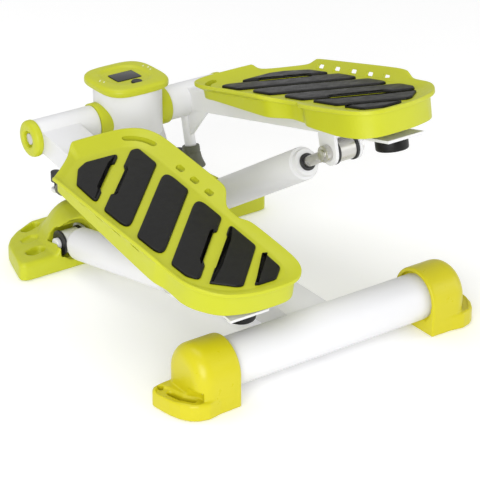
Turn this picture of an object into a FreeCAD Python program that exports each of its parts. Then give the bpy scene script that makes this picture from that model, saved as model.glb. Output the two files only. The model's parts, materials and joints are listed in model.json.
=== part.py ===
import FreeCAD, Part
import os
import Sketcher

# Mini stepper: two foot pedals on one cross shaft, each held up by a hydraulic cylinder.
# Origin: middle of the footprint on the floor, +X to the user's right, +Y towards the toes, +Z up.
# Fixed pieces are drawn about the pedal shaft, pedal pieces about the shaft with the deck level,
# cylinder pieces about an eye with the rod along -Y. One placement then carries each into the stepper.

SIZES = {
    # stance
    "pivot_height": 147, "front_reach": 57, "rear_axis": 358.7, "left_tilt": 8.45, "right_tilt": -13.15,
    # frame tubes
    "rear_tube_radius": 25, "rear_tube_half": 160, "rear_tube_height": 33.4, "tube_wall": 2,
    "main_tube_width": 50, "main_tube_depth": 30, "main_tube_bottom": 17.5, "main_tube_front": 22,
    "cross_tube_half": 128, "cross_tube_depth": 17, "cross_tube_width": 34, "cross_tube_middle": 12,
    "upright_width": 50, "upright_depth": 32,
    "housing_radius": 38.3, "housing_wall": 3, "housing_height": 55, "housing_sink": 0.5,
    "gusset_thickness": 5, "gusset_reach": 50, "gusset_shoulder": 44.5, "gusset_knee": 24, "gusset_drop": 46,
    # shaft and sleeves
    "shaft_radius": 8, "sleeve_radius": 19.5, "sleeve_wall": 3, "sleeve_start": 46.5, "sleeve_end": 119,
    "bush_length": 15, "running_gap": 0.05, "face_gap": 0.4, "ring_radius": 21.5,
    "end_cap_radius": 20.5, "end_cap_thickness": 9, "end_bolt_radius": 6.5, "end_well_gap": 1.5,
    # pedal arm
    "arm_middle": 95.5, "arm_width": 46, "arm_depth": 25, "arm_below": 11.4, "arm_reach": 343,
    "end_plate": 3, "end_plate_reach": 374, "plug_thickness": 3, "plug_length": 12,
    "bumper_radius": 17, "bumper_height": 12, "bumper_back": 353, "bumper_shift": 3,
    "lever_middle": 75, "lever_radius": 6.5, "lever_length": 74, "boot_top": 54, "boot_bottom": 80,
    "boot_top_radius": 10, "boot_bottom_radius": 14, "web_reach": 46, "web_thickness": 4, "web_drop": 22,
    # pedal tray
    "tray_toe": 75, "tray_heel": 388, "tray_inner": 25, "tray_outer": 176, "toe_corner": 122,
    "heel_corner": 126, "outer_front": 123, "outer_back": 283, "tray_floor": 26, "tray_guard": 36,
    "tray_wall": 3, "guard_slope": 13, "low_rim": 29, "skirt_inset": 6, "skirt_start": 116,
    "skirt_deep": 340, "guard_step": 226, "guard_end": 300, "guard_middle": 90, "lip_front": 10, "lip_back": 30,
    "lip_width": 20, "slot_length": 14, "slot_width": 12, "slot_height": 4, "slot_drop": 6,
    "inner_slot_first": 172, "inner_slot_pitch": 24, "outer_slot_first": 144, "outer_slot_pitch": 31,
    "pad_thickness": 2.6, "pad_pitch": 59.7, "pad_gap": 9.9, "pad_notch": 17, "notch_length": 54,
    "first_notch": 114, "second_notch": 94, "pad_first": 34.2, "pad_slope": 45, "pad_inner": 32,
    "pad_outer": 23, "pad_toe": 34, "pad_heel": 12, "pad_heel_inset": 30, "pad_cheek": 32,
    "screw_radius": 2.5, "screw_head": 5, "screw_head_height": 3, "screw_front": 122, "screw_back": 312,
    "screw_spread": 11, "boss_wall": 2,
    # cylinders
    "lower_eye_back": 25, "lower_eye_height": 27, "upper_eye_back": 263, "upper_eye_below": 34,
    "eye_radius": 12.5, "eye_length": 21, "flange_radius": 14, "flange": 3, "bush_radius": 9,
    "pin_radius": 5, "open_gap": 1.6, "barrel_radius": 18.5, "barrel_start": 18, "barrel_end": 205,
    "heel_length": 6, "heel_step": 5, "nose_radius": 15, "nose_length": 6, "bore_radius": 15.5,
    "bore_end": 4, "bore_start": 6, "rod_radius": 6, "rod_length": 204,
    "piston_length": 8, "seal_radius": 9.5, "seal_length": 2.5, "collar_radius": 8.5, "collar_length": 6,
    "lug": 4, "lug_gap": 0.4, "lower_plate": 5, "lower_plate_front": 25,
    "lower_head_step": 1.5, "bolt_head_step": 4, "bolt_head": 5, "nut": 7, "bolt_end": 2,
    # rocker between the two levers
    "rocker_front": 38, "rocker_bottom": 61, "rocker_thickness": 4, "rocker_hub": 13, "rocker_half": 75,
    "rocker_bow": 21.1, "rocker_angle": 10.6, "rocker_width": 12, "rocker_flat": 25, "rocker_pin": 4,
    "rocker_head": 3, "ear_width": 24, "ear_thickness": 5, "roller_radius": 6, "roller_pin": 2.5,
    "roller_bottom": 73, "roller_height": 12,
    # front cover
    "cover_wing": 21, "cover_wall": 3, "cover_half": 164.5, "cover_back": 40, "cover_tail": 8,
    "cover_tail_step": 4, "cheek_x": 152.5, "cheek_y": 20, "shoulder_x": 128.5, "shoulder_y": 44,
    "nose_half": 82.5, "hump_height": 60, "hump_half": 104, "hump_lean": 5, "hump_shoulder": 12,
    "hump_flat": 86, "hump_setback": 6, "hump_ramp": 24, "recess_radius": 21, "recess_top": 33,
    "recess_floor": 5, "recess_depth": 9, "hood": 4, "cover_gap": 1, "pocket_length": 20, "pocket_width": 12,
    "pocket_depth": 2, "front_pocket_x": 103, "front_pocket_y": 38, "middle_pocket_x": 122,
    "middle_pocket_y": 14, "rear_pocket_x": 131, "rear_pocket_y": -14,
    # rear caps
    "cap_inner": 120.6, "cap_end": 172, "cap_half_width": 32, "seat_room": 1, "wing_reach": 192.4,
    "wing_height": 18, "wing_back": 36.6, "wing_front": 30, "wing_back_run": 34, "wing_corner": 12,
    "wing_corner_rise": 23.6, "wing_side": 10, "wing_tip": 6, "wing_tip_drop": 5, "wing_front_run": 32,
    "cap_hole_in": 11.4, "cap_hole_front": 20.6,
    # console
    "console_half": 41, "console_top": 192, "console_rim": 9, "console_corner": 27, "window_x": 31,
    "window_y": 22, "window_middle": 5, "button_radius": 6, "button_x": 2, "button_y": -17, "lens": 1.5,
    "panel": 2, "board_x": 46, "board_y": 44, "board": 1.6, "board_drop": 5, "battery_radius": 7,
    "battery_length": 44, "battery_drop": 20, "collar_wall": 3, "collar_drop": 8, "bezel_wall": 3,
    "cap_height": 6, "button_sink": 4.6, "button_flange": 1.6, "button_flange_height": 1.4,
}

doc = FreeCAD.newDocument("mini_stepper")
sizes = doc.addObject("Spreadsheet::Sheet", "sizes")
nodes = []


def fillSheet():
    for row, (name, value) in enumerate(SIZES.items(), 1):
        sizes.set(f"A{row}", name)
        sizes.set(f"B{row}", str(value))
        sizes.setAlias(f"B{row}", name)
    doc.recompute()


def addDerived():
    # places that follow from the sizes: the footprint's middle and where each cylinder points
    derived = doc.addObject("App::VarSet", "derived")
    formulas = {
        "pivot_y": "(sizes.rear_axis + sizes.wing_back - sizes.front_reach) / 2",
        "housing_bottom": "sizes.pivot_height - sizes.sleeve_radius + sizes.housing_sink",
        "eye_half": "sizes.eye_length / 2 + sizes.flange",
        "main_top": "sizes.main_tube_bottom + sizes.main_tube_depth",
        "plate_middle": ("sizes.arm_middle - derived.eye_half - sizes.lug_gap - sizes.lower_plate / 2"),
        "console_under": "sizes.console_top - sizes.console_rim",
    }
    for side in ("left", "right"):
        tilt = f"(sizes.{side}_tilt * 1 deg)"
        formulas[side + "_eye_y"] = f"-sizes.upper_eye_back * cos{tilt} + sizes.upper_eye_below * sin{tilt}"
        formulas[side + "_eye_z"] = (f"sizes.pivot_height - sizes.upper_eye_back * sin{tilt}"
                                     f" - sizes.upper_eye_below * cos{tilt}")
        formulas[side + "_lean"] = (f"-atan2(derived.{side}_eye_z - sizes.lower_eye_height;"
                                    f" -sizes.lower_eye_back - derived.{side}_eye_y) / 1 deg")
    for name, formula in formulas.items():
        derived.addProperty("App::PropertyFloat", name)
        derived.setExpression(name, formula)
    doc.recompute()


def sized(text):
    # short names in an expression become references to the sheet or the derived set
    words = []
    for word in str(text).replace("(", "( ").replace(")", " )").split():
        sign = "-" if word.startswith("-") and word[1:2].isalpha() else ""
        bare = word[len(sign):]
        if bare in SIZES:
            word = f"{sign}sizes.{bare}"
        elif bare.isidentifier() and hasattr(doc.derived, bare):
            word = f"{sign}derived.{bare}"
        words.append(word)
    return " ".join(words)


def number(text):
    return float(sizes.evalExpression(sized(text)))


def bind(thing, **links):
    for name, text in links.items():
        thing.setExpression(name, sized(text))


def put(thing, x=0, y=0, z=0):
    for name, text in zip("xyz", (x, y, z)):
        thing.setExpression(f"Placement.Base.{name}", sized(text))
    return thing


TURNS = {"x": ((0, 1, 0), 90), "y": ((1, 0, 0), -90), "z": ((0, 0, 1), 0)}


def turn(thing, axis, angle):
    thing.Placement = FreeCAD.Placement(FreeCAD.Vector(), FreeCAD.Rotation(FreeCAD.Vector(*axis), angle))
    return thing


def rod(radius, length, axis="z", x=0, y=0, z=0, centred=False):
    # a round bar from (x, y, z) along +axis, or centred on it
    bar = turn(doc.addObject("Part::Cylinder", "Bar"), *TURNS[axis])
    bind(bar, Radius=radius, Height=length)
    place = {"x": x, "y": y, "z": z}
    if centred:
        place[axis] = f"( {place[axis]} ) - ( {length} ) / 2"
    return put(bar, **place)


def cone(radiusA, radiusB, length, axis="z", x=0, y=0, z=0):
    bar = turn(doc.addObject("Part::Cone", "Taper"), *TURNS[axis])
    bind(bar, Radius1=radiusA, Radius2=radiusB, Height=length)
    return put(bar, x, y, z)


def box(wide, deep, tall, x=0, y=0, z=0):
    # a block centred on x and y, standing on z
    block = doc.addObject("Part::Box", "Block")
    bind(block, Length=wide, Width=deep, Height=tall)
    return put(block, f"( {x} ) - ( {wide} ) / 2", f"( {y} ) - ( {deep} ) / 2", z)


def fuse(*things):
    joined = doc.addObject("Part::MultiFuse", "Joined")
    joined.Shapes = list(things)
    joined.Refine = True
    return joined


def cut(base, *tools):
    carved = doc.addObject("Part::Cut", "Carved")
    carved.Base = base
    carved.Tool = tools[0] if len(tools) == 1 else fuse(*tools)
    carved.Refine = True
    return carved


def common(first, second):
    shared = doc.addObject("Part::MultiCommon", "Shared")
    shared.Shapes = [first, second]
    shared.Refine = True
    return shared


def pipe(outer, inner, length, axis="z", x=0, y=0, z=0, centred=False):
    return cut(rod(outer, length, axis, x, y, z, centred), rod(inner, length, axis, x, y, z, centred))


def outline(body, points, plane="XY_Plane", lift=0):
    # a closed sketch whose corners are tied to the sheet
    sketch = body.newObject("Sketcher::SketchObject", "Outline")
    sketch.AttachmentSupport = [(next(f for f in body.Origin.OriginFeatures if f.Role == plane), "")]
    sketch.MapMode = "FlatFace"
    sketch.setExpression("AttachmentOffset.Base.z", sized(lift))
    corners = [FreeCAD.Vector(number(a), number(b), 0) for a, b in points]
    for i, corner in enumerate(corners):
        sketch.addGeometry(Part.LineSegment(corner, corners[(i + 1) % len(corners)]))
    for i in range(len(corners)):
        sketch.addConstraint(Sketcher.Constraint("Coincident", i, 2, (i + 1) % len(corners), 1))
    for i, (corner, point) in enumerate(zip(corners, points)):
        for kind, value, text in (("DistanceX", corner.x, point[0]), ("DistanceY", corner.y, point[1])):
            row = sketch.addConstraint(Sketcher.Constraint(kind, -1, 1, i, 1, value))
            sketch.setExpression(f"Constraints[{row}]", sized(text))
    return sketch


def slab(points, height, lift=0, rounds=None, plane="XY_Plane"):
    # a padded outline; rounds gives a fillet radius for a corner's number
    body = doc.addObject("PartDesign::Body", "Slab")
    sketch = outline(body, points, plane, lift)
    pad = body.newObject("PartDesign::Pad", "Pad")
    pad.Profile = sketch
    bind(pad, Length=height)
    doc.recompute()
    for radius in sorted(set((rounds or {}).values())):
        fillet = body.newObject("PartDesign::Fillet", "Round")
        previous = body.Shape
        spots = [sketch.Placement.multVec(FreeCAD.Vector(number(points[i][0]), number(points[i][1]), 0))
                 for i, r in rounds.items() if r == radius]
        axis = sketch.Placement.Rotation.multVec(FreeCAD.Vector(0, 0, 1))
        names = []
        for i, edge in enumerate(previous.Edges, 1):
            start, end = edge.Vertexes[0].Point, edge.Vertexes[-1].Point
            along = end - start
            if along.Length < 1e-6 or abs(abs(along.normalize() * axis) - 1) > 1e-6:
                continue
            if any(((start - s) - axis * ((start - s) * axis)).Length < 1e-4 for s in spots):
                names.append(f"Edge{i}")
        fillet.Base = (pad if fillet.BaseFeature is None else fillet.BaseFeature, names)
        bind(fillet, Radius=radius)
        doc.recompute()
    return body


FRAMES = {
    "base": ("0", "pivot_y", "0", None, "0"),
    "left": ("0", "pivot_y", "pivot_height", "x", "left_tilt"),
    "right": ("0", "pivot_y", "pivot_height", "x", "right_tilt"),
    "rocker": ("0", "pivot_y + rocker_front", "0", "z", "-rocker_angle"),
}
for side in ("left", "right"):
    FRAMES[side + "_barrel"] = ("0", "pivot_y - lower_eye_back", "lower_eye_height", "x", side + "_lean")
    FRAMES[side + "_rod"] = ("0", f"pivot_y + {side}_eye_y", side + "_eye_z", "x", side + "_lean")


def swing(thing, axis, angle):
    for name in "xyz":
        thing.setExpression(f"Placement.Rotation.Axis.{name}", "1" if name == axis else "0")
    thing.setExpression("Placement.Rotation.Angle", sized(angle))
    return thing


def wrap(thing):
    # a primitive keeps its own place inside a compound that can be placed again
    holder = doc.addObject("Part::Compound", "Lone")
    holder.Links = [thing]
    return holder


def node(thing, label, frame="base"):
    if thing.TypeId in ("Part::Box", "Part::Cylinder"):
        thing = wrap(thing)
    x, y, z, axis, angle = FRAMES[frame]
    if axis:
        swing(thing, axis, angle)
    put(thing, x, y, z)
    thing.Label = label
    nodes.append(thing)
    return thing


# frame

def rearTube():
    node(pipe("rear_tube_radius", "rear_tube_radius - tube_wall", "2 * rear_tube_half", "x",
              "0", "-rear_axis", "rear_tube_height", True), "rear_tube")


def mainTube():
    long = "main_tube_front + rear_axis"
    middle = "( main_tube_front - rear_axis ) / 2"
    outer = box("main_tube_width", long, "main_tube_depth", "0", middle, "main_tube_bottom")
    inner = box("main_tube_width - 2 * tube_wall", long, "main_tube_depth - 2 * tube_wall", "0", middle,
                "main_tube_bottom + tube_wall")
    mouth = rod("rear_tube_radius", "2 * main_tube_width", "x", "0", "-rear_axis", "rear_tube_height", True)
    node(cut(outer, inner, mouth), "main_tube")


def crossTube():
    bottom = "main_tube_bottom - cross_tube_depth"
    outer = box("2 * cross_tube_half", "cross_tube_width", "cross_tube_depth", "0", "cross_tube_middle", bottom)
    inner = box("2 * cross_tube_half", "cross_tube_width - 2 * tube_wall", "cross_tube_depth - 2 * tube_wall",
                "0", "cross_tube_middle", f"{bottom} + tube_wall")
    node(cut(outer, inner), "front_cross_tube")


def upright():
    outer = box("upright_width", "upright_depth", "housing_bottom - main_top", "0", "0", "main_top")
    inner = box("upright_width - 2 * tube_wall", "upright_depth - 2 * tube_wall", "housing_bottom - main_top",
                "0", "0", "main_top")
    webs = []
    for side in ("1", "-1"):
        # the webs flare out under the saddle rings
        profile = [("upright_width / 2", "housing_bottom"), ("housing_radius - face_gap", "housing_bottom"),
                   ("housing_radius - face_gap", "pivot_height - ring_radius - face_gap"),
                   ("gusset_shoulder", "pivot_height - ring_radius - 5 * face_gap"),
                   ("gusset_reach", "housing_bottom - gusset_knee"),
                   ("upright_width / 2", "housing_bottom - gusset_drop")]
        webs.append(slab([(f"{side} * ( {x} )", z) for x, z in profile], "gusset_thickness",
                         "-gusset_thickness / 2", plane="XZ_Plane"))
    node(fuse(cut(outer, inner), *webs), "upright")


def postHousing():
    shell = cut(rod("housing_radius", "housing_height", z="housing_bottom"),
                rod("housing_radius - housing_wall", "housing_height", z="housing_bottom + housing_wall"),
                rod("shaft_radius", "3 * housing_radius", "x", z="pivot_height", centred=True))
    node(shell, "post_housing")


def pivotShaft():
    node(rod("shaft_radius", "2 * sleeve_end", "x", z="pivot_height", centred=True), "pivot_shaft")


def saddleRings():
    rings = cut(rod("ring_radius", "2 * ( sleeve_start - face_gap )", "x", z="pivot_height", centred=True),
                rod("housing_radius", "3 * housing_radius", z="pivot_height - 1.5 * housing_radius"),
                rod("shaft_radius", "3 * housing_radius", "x", z="pivot_height", centred=True))
    node(rings, "saddle_rings")


def endCaps():
    discs, bolts = [], []
    for sign in ("-1", "1"):
        middle = f"{sign} * ( sleeve_end + face_gap + end_cap_thickness / 2 )"
        rim = rod("end_cap_radius", "end_cap_thickness", "x", middle, "0", "pivot_height", True)
        well = rod("end_bolt_radius + end_well_gap", "end_cap_thickness / 2", "x",
                   f"{sign} * ( sleeve_end + face_gap + end_cap_thickness * 3 / 4 )", "0", "pivot_height", True)
        hole = rod("screw_radius", "2 * end_cap_thickness", "x", middle, "0", "pivot_height", True)
        discs.append(cut(rim, well, hole))
        head = rod("end_bolt_radius", "end_cap_thickness / 4", "x",
                   f"{sign} * ( sleeve_end + face_gap + end_cap_thickness * 5 / 8 )", "0", "pivot_height", True)
        shank = rod("screw_radius", "end_cap_thickness / 2 + face_gap", "x",
                    f"{sign} * ( sleeve_end + face_gap / 2 + end_cap_thickness / 4 )", "0", "pivot_height", True)
        bolts.append(fuse(head, shank))
    node(fuse(*discs), "end_caps")
    node(fuse(*bolts), "end_bolts")


def rearCap(name, sign):
    corners = [("cap_inner", "-cap_half_width"), ("wing_reach - wing_back_run", "-wing_back"),
               ("wing_reach - wing_corner", "-wing_corner_rise"), ("wing_reach", "wing_side"),
               ("wing_reach - wing_tip", "wing_front - wing_tip_drop"),
               ("wing_reach - wing_front_run", "wing_front"), ("cap_inner", "cap_half_width")]
    plate = slab([(f"{sign} * ( {x} )", f"-rear_axis + ( {y} )") for x, y in corners], "wing_height",
                 rounds={1: 22, 2: 14, 3: 10, 4: 8})
    long = "( cap_end - cap_inner )"
    middle = f"{sign} * ( cap_end + cap_inner ) / 2"
    block = box(long, "2 * cap_half_width", "rear_tube_height", middle, "-rear_axis", "0")
    arch = rod("cap_half_width", long, "x", middle, "-rear_axis", "rear_tube_height", True)
    seat = rod("rear_tube_radius", "rear_tube_half - cap_inner + seat_room", "x",
               f"{sign} * ( rear_tube_half + cap_inner - seat_room ) / 2", "-rear_axis", "rear_tube_height", True)
    hole = rod("screw_radius", "2 * wing_height", "z", f"{sign} * ( wing_reach - cap_hole_in )",
               "-rear_axis + cap_hole_front", "-wing_height / 2")
    node(cut(fuse(plate, block, arch), seat, hole), f"rear_cap_{name}")


def coverWings(inset, height, lift):
    # half of the plan, tail to nose, then the same corners mirrored
    corners = [("cover_half", f"-cover_back + cover_tail + {inset}"),
               ("cheek_x", f"cheek_y - {inset} / 2"), ("shoulder_x", f"shoulder_y - {inset}"),
               ("nose_half", f"front_reach - {inset}")]
    tail = (f"( cover_half - cover_tail_step - {inset} )", f"-cover_back + {inset}")
    right = [tail] + [(f"( {x} - {inset} )", y) for x, y in corners]
    left = [(f"-1 * {x}", y) for x, y in reversed(right)]
    return slab(right + left, height, lift, rounds={1: 4, 8: 4, 2: 14, 7: 14, 3: 22, 6: 22, 4: 20, 5: 20})


def coverHump(inset, bottom):
    # seen from the front: a low arch between the wings, from the rear face to the front edge
    profile = [("hump_half", bottom), ("hump_half - hump_lean", f"hump_height - hump_shoulder - {inset}"),
               ("hump_flat", f"hump_height - {inset}")]
    right = [(f"( {x} - {inset} )", z) for x, z in profile]
    left = [(f"-1 * {x}", z) for x, z in reversed(right)]
    front = f"( front_reach - hump_setback - {inset} )"
    body = slab(right + left, f"{front} + cover_back - {inset}", f"-1 * {front}", plane="XZ_Plane")
    # the front of the hump leans back
    ramp = slab([(front, "cover_wing"), (f"{front} - hump_ramp", f"hump_height - {inset}"),
                 (f"{front} - hump_ramp", "2 * hump_height"), ("2 * front_reach", "2 * hump_height"),
                 ("2 * front_reach", "cover_wing")], "3 * cover_half", "-1.5 * cover_half", plane="YZ_Plane")
    return cut(body, ramp)


def recesses(extra, front):
    # the arched pocket behind each lower cylinder eye
    radius, floor = f"( recess_radius + {extra} )", f"( recess_floor - {extra} )"
    long = f"( 3 * cover_back / 2 - {front} )"
    middle = f"-1 * ( 3 * cover_back / 2 + {front} ) / 2"
    shapes = []
    for sign in ("-1", "1"):
        shapes.append(box(f"2 * {radius}", long, f"recess_top - {floor}", f"{sign} * arm_middle", middle, floor))
        shapes.append(rod(radius, long, "y", f"{sign} * arm_middle", middle, "recess_top", True))
    return shapes


def barrelRoom(sign):
    # what the cylinder needs at its steepest
    room = wrap(rod("barrel_radius + cover_gap", "2 * cover_back", "y", f"{sign} * arm_middle",
                    "-2 * cover_back - barrel_start + heel_length"))
    return put(swing(room, "x", "right_lean"), "0", "-lower_eye_back", "lower_eye_height")


def frontCover():
    hoods = common(fuse(*recesses("hood", "recess_depth - hood - cover_gap")),
                   box("3 * cover_half", "2 * cover_back", "3 * hump_height", "0", "0", "0"))
    skin = fuse(coverWings("0", "cover_wing", "0"), coverHump("0", "cover_wing / 2"), hoods)
    hollow = fuse(coverWings("cover_wall", "cover_wing - cover_wall", "0"), coverHump("cover_wall", "0"))
    walls = fuse(*recesses("cover_wall", "recess_depth - cover_wall"))
    room = "2 * cover_gap"
    keys = [box(f"upright_width + {room}", f"upright_depth + {room}", "hump_height", "0", "0", "hump_height / 2"),
            box(f"main_tube_width + {room}", "cover_back", "hump_height", "0", "-cover_back",
                "-hump_height + main_top + cover_gap")]
    for sign in ("-1", "1"):
        # slot for the cylinder's bracket, and the three pockets in the wing
        keys.append(box(f"lower_plate + {room}", "cover_back", "lower_eye_height + eye_radius + cover_gap",
                        f"{sign} * plate_middle", "-cover_back / 2 + cover_gap", "cover_wall"))
        keys.append(barrelRoom(sign))
        for spot in ("front", "middle", "rear"):
            x, y = f"{sign} * {spot}_pocket_x", f"{spot}_pocket_y"
            long, wide = "pocket_length / 2", "pocket_width / 2"
            keys.append(slab([(f"{x} - {long}", f"{y} - {wide}"), (f"{x} + {long}", f"{y} - {wide}"),
                              (f"{x} + {long}", f"{y} + {wide}"), (f"{x} - {long}", f"{y} + {wide}")],
                             "pocket_depth", "cover_wing - pocket_depth", rounds={i: 5 for i in range(4)}))
    node(cut(skin, cut(hollow, walls), *recesses("0", "recess_depth"), *keys), "front_cover")


def lowerBrackets():
    plates, bolts = [], []
    eye = ("-lower_eye_back", "lower_eye_height")
    for sign in ("-1", "1"):
        middle = f"{sign} * plate_middle"
        plate = box("lower_plate", "lower_eye_back + lower_plate_front",
                    "lower_eye_height + eye_radius - main_tube_bottom", middle,
                    "( lower_plate_front - lower_eye_back ) / 2", "main_tube_bottom")
        lobe = rod("eye_radius", "lower_plate", "x", middle, *eye, True)
        plates.append(cut(fuse(plate, lobe), rod("pin_radius", "4 * lower_plate", "x", middle, *eye, True)))
        inner = "( plate_middle - lower_plate / 2 )"
        outer = "( arm_middle + eye_half + lug_gap )"
        shank = rod("pin_radius", f"{outer} - {inner}", "x", f"{sign} * ( {outer} + {inner} ) / 2", *eye, True)
        head = rod("pin_radius + lower_head_step", "bolt_head", "x", f"{sign} * ( {outer} + bolt_head / 2 )",
                   *eye, True)
        bolts.append(fuse(shank, head))
    node(fuse(*plates), "lower_brackets")
    node(fuse(*bolts), "lower_bolts")


# console

def console():
    half, under = "console_half", "console_under"
    neck = "( housing_radius - housing_wall - face_gap / 2 )"
    plate = slab([(f"-{half}", f"-{half}"), (half, f"-{half}"), (half, half), (f"-{half}", half)],
                 "console_rim", under, rounds={i: "console_corner" for i in range(4)})
    hollow = rod(f"{neck} - collar_wall", "console_rim - bezel_wall", "z", "0", "0", under)
    collar = pipe(neck, f"{neck} - collar_wall", "collar_drop", "z", "0", "0", f"{under} - collar_drop")
    window = box("window_x", "window_y", "console_rim", "0", "window_middle", under)
    hole = rod("button_radius + face_gap", "console_rim", "z", "button_x", "button_y", under)
    node(cut(fuse(plate, collar), hollow, window, hole), "console_bezel")
    glass, deep = ("window_x - face_gap", "window_y - face_gap"), "console_top - 2 * lens"
    node(box(*glass, "lens", "0", "window_middle", deep), "display_lens")
    node(box(*glass, "panel", "0", "window_middle", f"{deep} - panel"), "display_panel")
    node(box("board_x", "board_y", "board", "0", "0", f"{under} - board_drop"), "circuit_board")
    node(rod("battery_radius", "battery_length", "x", "0", "0", f"{under} - battery_drop", True), "battery")
    cap = rod("button_radius", "cap_height", "z", "button_x", "button_y", "console_top - button_sink")
    flange = rod("button_radius + button_flange", "button_flange_height", "z", "button_x", "button_y",
                 "console_top - button_sink")
    node(fuse(cap, flange), "console_button")


# rocker

def rocker():
    top, gap = "rocker_bottom + rocker_thickness", "face_gap"
    ear = box("ear_width", "rocker_front - upright_depth / 2", "ear_thickness", "0",
              "( rocker_front + upright_depth / 2 ) / 2", f"{top} + {gap}")
    nose = rod("ear_width / 2", "ear_thickness", "z", "0", "rocker_front", f"{top} + {gap}")
    tall = "( rocker_thickness + ear_thickness + 2 * face_gap )"
    hole = rod("rocker_pin", f"2 * {tall}", "z", "0", "rocker_front", f"rocker_bottom - {tall} / 2")
    node(cut(fuse(ear, nose), hole), "rocker_bracket")
    shank = rod("rocker_pin", tall, "z", "0", "rocker_front", f"rocker_bottom - {gap}")
    head = rod("2 * rocker_pin", "rocker_head", "z", "0", "rocker_front", f"rocker_bottom - {gap} - rocker_head")
    node(fuse(shank, head), "rocker_bolt")
    wide, bow = "rocker_width / 2", "rocker_bow"
    right = [("rocker_flat", f"-{wide}"), ("rocker_half", f"-{bow} - {wide}"), ("rocker_half", f"-{bow} + {wide}"),
             ("rocker_flat", wide)]
    left = [(f"-{x}", y) for x, y in reversed(right)]
    bar = slab(right + left, "rocker_thickness", "rocker_bottom")
    hub = rod("rocker_hub", "rocker_thickness", "z", "0", "0", "rocker_bottom")
    bore = rod("rocker_pin + running_gap", "3 * rocker_thickness", "z", "0", "0", "rocker_bottom - rocker_thickness")
    ends, pins, rollers = [], [], []
    for x in ("-rocker_half", "rocker_half"):
        ends.append(rod(wide, "rocker_thickness", "z", x, f"-{bow}", "rocker_bottom"))
        pins.append(rod("roller_pin", "3 * rocker_thickness", "z", x, f"-{bow}", "rocker_bottom - rocker_thickness"))
        shank = rod("roller_pin", "roller_bottom - rocker_bottom", "z", x, f"-{bow}", "rocker_bottom")
        rollers.append(fuse(shank, rod("roller_radius", "roller_height", "z", x, f"-{bow}", "roller_bottom")))
    node(cut(fuse(bar, hub, *ends), bore, *pins), "rocker_beam", "rocker")
    node(fuse(*rollers), "rocker_rollers", "rocker")


# pedals, drawn for the right side and mirrored with the sign

def sleeve(name, sign):
    middle = f"{sign} * ( sleeve_start + sleeve_end ) / 2"
    node(pipe("sleeve_radius", "sleeve_radius - sleeve_wall", "sleeve_end - sleeve_start", "x", middle,
              centred=True), f"sleeve_{name}", name)
    bushes = [pipe("sleeve_radius - sleeve_wall", "shaft_radius + running_gap", "bush_length", "x",
                   f"{sign} * ( {spot} )", centred=True)
              for spot in ("sleeve_start + bush_length / 2", "sleeve_end - bush_length / 2")]
    node(fuse(*bushes), f"sleeve_bushes_{name}", name)


def arm(name, sign):
    x = f"{sign} * arm_middle"
    outer = box("arm_width", "arm_reach", "arm_depth", x, "-arm_reach / 2", "-arm_below")
    inner = box("arm_width - 2 * tube_wall", "arm_reach", "arm_depth - 2 * tube_wall", x, "-arm_reach / 2",
                "-arm_below + tube_wall")
    mouth = rod("sleeve_radius", "3 * arm_width", "x", x, centred=True)
    tail = box("arm_width", "end_plate_reach - arm_reach", "end_plate", x,
               "-1 * ( end_plate_reach + arm_reach ) / 2", "-arm_below")
    holes = [rod("screw_radius", "2 * arm_depth", "z", px, py, "-arm_depth") for px, py in screwSpots(sign)]
    node(cut(fuse(cut(outer, inner, mouth), tail), *holes), f"arm_{name}", name)
    plug = box("arm_width - 2 * tube_wall", "plug_length", "arm_depth - 2 * tube_wall", x,
               "-arm_reach + plug_length / 2",
               "-arm_below + tube_wall")
    face = box("arm_width", "plug_thickness", "arm_depth - end_plate", x, "-arm_reach - plug_thickness / 2",
               "-arm_below + end_plate")
    node(fuse(plug, face), f"arm_plug_{name}", name)
    node(rod("bumper_radius", "bumper_height", "z", f"{sign} * ( arm_middle - bumper_shift )", "-bumper_back",
             "-arm_below - bumper_height"), f"bumper_{name}", name)


def screwSpots(sign):
    return [(f"{sign} * ( arm_middle {side} screw_spread )", back)
            for side in ("-", "+") for back in ("-screw_front", "-screw_back")]


def lever(name, sign):
    x = f"{sign} * lever_middle"
    tube = cut(rod("lever_radius", "lever_length", "z", x, "0", "-lever_length"),
               rod("sleeve_radius", "4 * lever_radius", "x", x, centred=True))
    web = slab([("0", "-sleeve_radius - web_drop"), ("-lever_radius", "-sleeve_radius - web_drop"),
                ("-web_reach", "-arm_below"), ("-sleeve_radius", "-arm_below"), ("0", "-arm_below")],
               "web_thickness", f"{x} - web_thickness / 2", plane="YZ_Plane")
    node(fuse(tube, cut(web, rod("sleeve_radius", "4 * lever_radius", "x", x, centred=True))),
         f"lever_{name}", name)
    boot = cut(cone("boot_bottom_radius", "boot_top_radius", "boot_bottom - boot_top", "z", x, "0", "-boot_bottom"),
               rod("lever_radius", "lever_length", "z", x, "0", "-lever_length"))
    node(boot, f"lever_boot_{name}", name)


def trayOutline(sign, inset, top, height):
    # the pedal's plan, toe edge first; inset moves the whole edge inwards
    toe, heel = f"-tray_toe - {inset}", f"-tray_heel + {inset}"
    inner, outer = f"tray_inner + {inset}", f"tray_outer - {inset}"
    points = [(inner, toe), (f"toe_corner - {inset} * 0.4", toe), (outer, f"-outer_front - {inset} * 0.4"),
              (outer, f"-outer_back + {inset} * 0.3"), (f"heel_corner - {inset} * 0.6", heel), (inner, heel)]
    return slab([(f"{sign} * ( {x} )", y) for x, y in points], height, top,
                {0: 24, 1: 8, 2: 8, 3: 20, 4: 14, 5: 18})


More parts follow.
